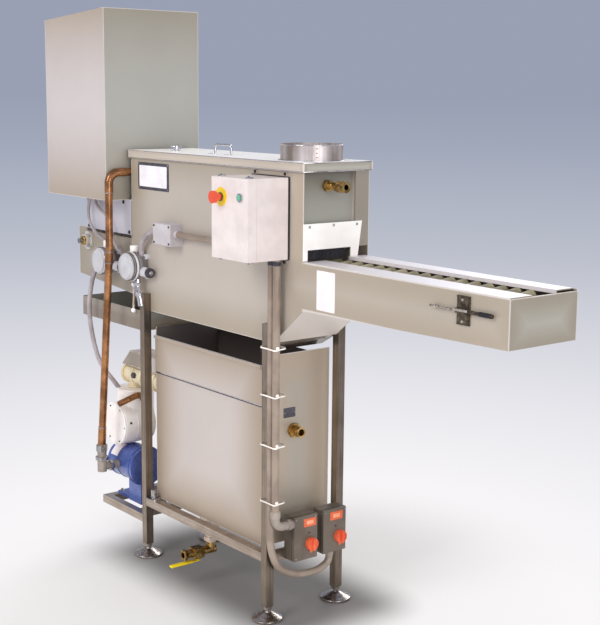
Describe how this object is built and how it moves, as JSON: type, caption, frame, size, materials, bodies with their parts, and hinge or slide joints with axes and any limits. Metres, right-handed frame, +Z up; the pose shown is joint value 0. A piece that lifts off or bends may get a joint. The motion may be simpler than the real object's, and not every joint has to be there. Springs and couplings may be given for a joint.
{
  "type": "egg washing machine",
  "caption": "Floor-standing egg washer with a water tank on legs, a lidded wash cabinet, a roller loading trough, a tall drying tower and a control enclosure.",
  "frame": {"origin": "on the floor, under the middle of the machine's bounding box", "axes": "+X along the conveyor to the loading end, +Y away from the control side, +Z up"},
  "size_m": [2.381, 0.535, 2.05],
  "materials": {
    "brushed_steel": "satin",
    "satin_panel": "satin",
    "enclosure_paint": "satin",
    "white_plastic": "matte",
    "roller_plastic": "matte",
    "yellow_plastic": "gloss",
    "red_plastic": "gloss",
    "chrome_trim": "polished",
    "green_plastic": "gloss",
    "motor_grey": "satin",
    "dark_metal": "matte",
    "dark_plastic": "matte",
    "brass": "satin",
    "pump_blue": "gloss",
    "cream_plastic": "matte",
    "copper": "satin"
  },
  "bodies": {
    "machine": {"frame_posts": "brushed_steel", "frame_rails": "brushed_steel", "pump_platform": "brushed_steel", "levelling_feet": "brushed_steel", "return_chute": "brushed_steel", "trough_floor": "brushed_steel", "unloading_floor": "brushed_steel", "tower_guard_plates": "brushed_steel", "conveyor_shafts": "brushed_steel", "conveyor_chains": "brushed_steel", "lid_hinge_pins": "brushed_steel", "adjuster_rod": "brushed_steel", "drain_fitting": "brushed_steel", "front_cover_strip": "brushed_steel", "rear_cover_strip": "brushed_steel", "tank_shell": "satin_panel", "tank_ends": "satin_panel", "front_panel": "satin_panel", "back_panel": "satin_panel", "cabinet_right_end": "satin_panel", "cabinet_left_end": "satin_panel", "trough_end": "satin_panel", "unloading_side_panels": "satin_panel", "tower_housing": "satin_panel", "drip_tray": "satin_panel", "inlet_cover": "satin_panel", "control_enclosure": "enclosure_paint", "entry_shield": "white_plastic", "white_canister": "white_plastic", "flange_bearing": "white_plastic", "conveyor_rollers": "roller_plastic", "gearmotors": "motor_grey", "junction_box": "motor_grey", "pump_union": "motor_grey", "conduits": "motor_grey", "motor_leads": "motor_grey", "gearboxes": "dark_metal", "adjuster_plate": "dark_metal", "thermostat_boxes": "dark_plastic", "cable_glands": "dark_plastic", "drain_valve": "brass", "inlet_fitting": "brass", "tank_fitting": "brass", "pump": "pump_blue", "inlet_head": "cream_plastic", "copper_pipe": "copper", "canister_pipe": "copper"},
    "lid": {"cabinet_lid": "brushed_steel", "exhaust_collar": "brushed_steel", "lid_handles": "brushed_steel", "lid_knuckles": "brushed_steel"},
    "door": {"control_door": "enclosure_paint", "stop_plate": "yellow_plastic", "start_bezel": "chrome_trim"},
    "stop_button": {"stop_button": "red_plastic"},
    "start_button": {"start_button": "green_plastic"},
    "front_knob": {"front_knob": "red_plastic"},
    "back_knob": {"back_knob": "red_plastic"},
    "drain_lever": {"drain_lever": "yellow_plastic"}
  },
  "joints": [
    {"name": "lid_hinge", "type": "hinge", "parent": "machine", "child": "lid", "pos_m": [0, 0.2213, 1.508], "axis": [-1, 0, 0], "range_deg": [0, 95]},
    {"name": "door_hinge", "type": "hinge", "parent": "machine", "child": "door", "pos_m": [0.0557, -0.19, 1.36], "axis": [0, 0, -1], "range_deg": [0, 110]},
    {"name": "stop_push", "type": "slide", "parent": "door", "child": "stop_button", "axis": [0, 1, 0], "range_m": [0, 0.005], "stiffness_N_per_m": 900},
    {"name": "start_push", "type": "slide", "parent": "door", "child": "start_button", "axis": [0, 1, 0], "range_m": [0, 0.003], "stiffness_N_per_m": 500},
    {"name": "front_knob_turn", "type": "hinge", "parent": "machine", "child": "front_knob", "pos_m": [0.2393, 0.051, 0.26], "axis": [1, 0, 0], "range_deg": [0, 270]},
    {"name": "back_knob_turn", "type": "hinge", "parent": "machine", "child": "back_knob", "pos_m": [0.2393, 0.176, 0.26], "axis": [1, 0, 0], "range_deg": [0, 270]},
    {"name": "drain_lever_turn", "type": "hinge", "parent": "machine", "child": "drain_lever", "pos_m": [-0.25, -0.08, 0.08], "axis": [0, 0, 1], "range_deg": [0, 90]}
  ]
}
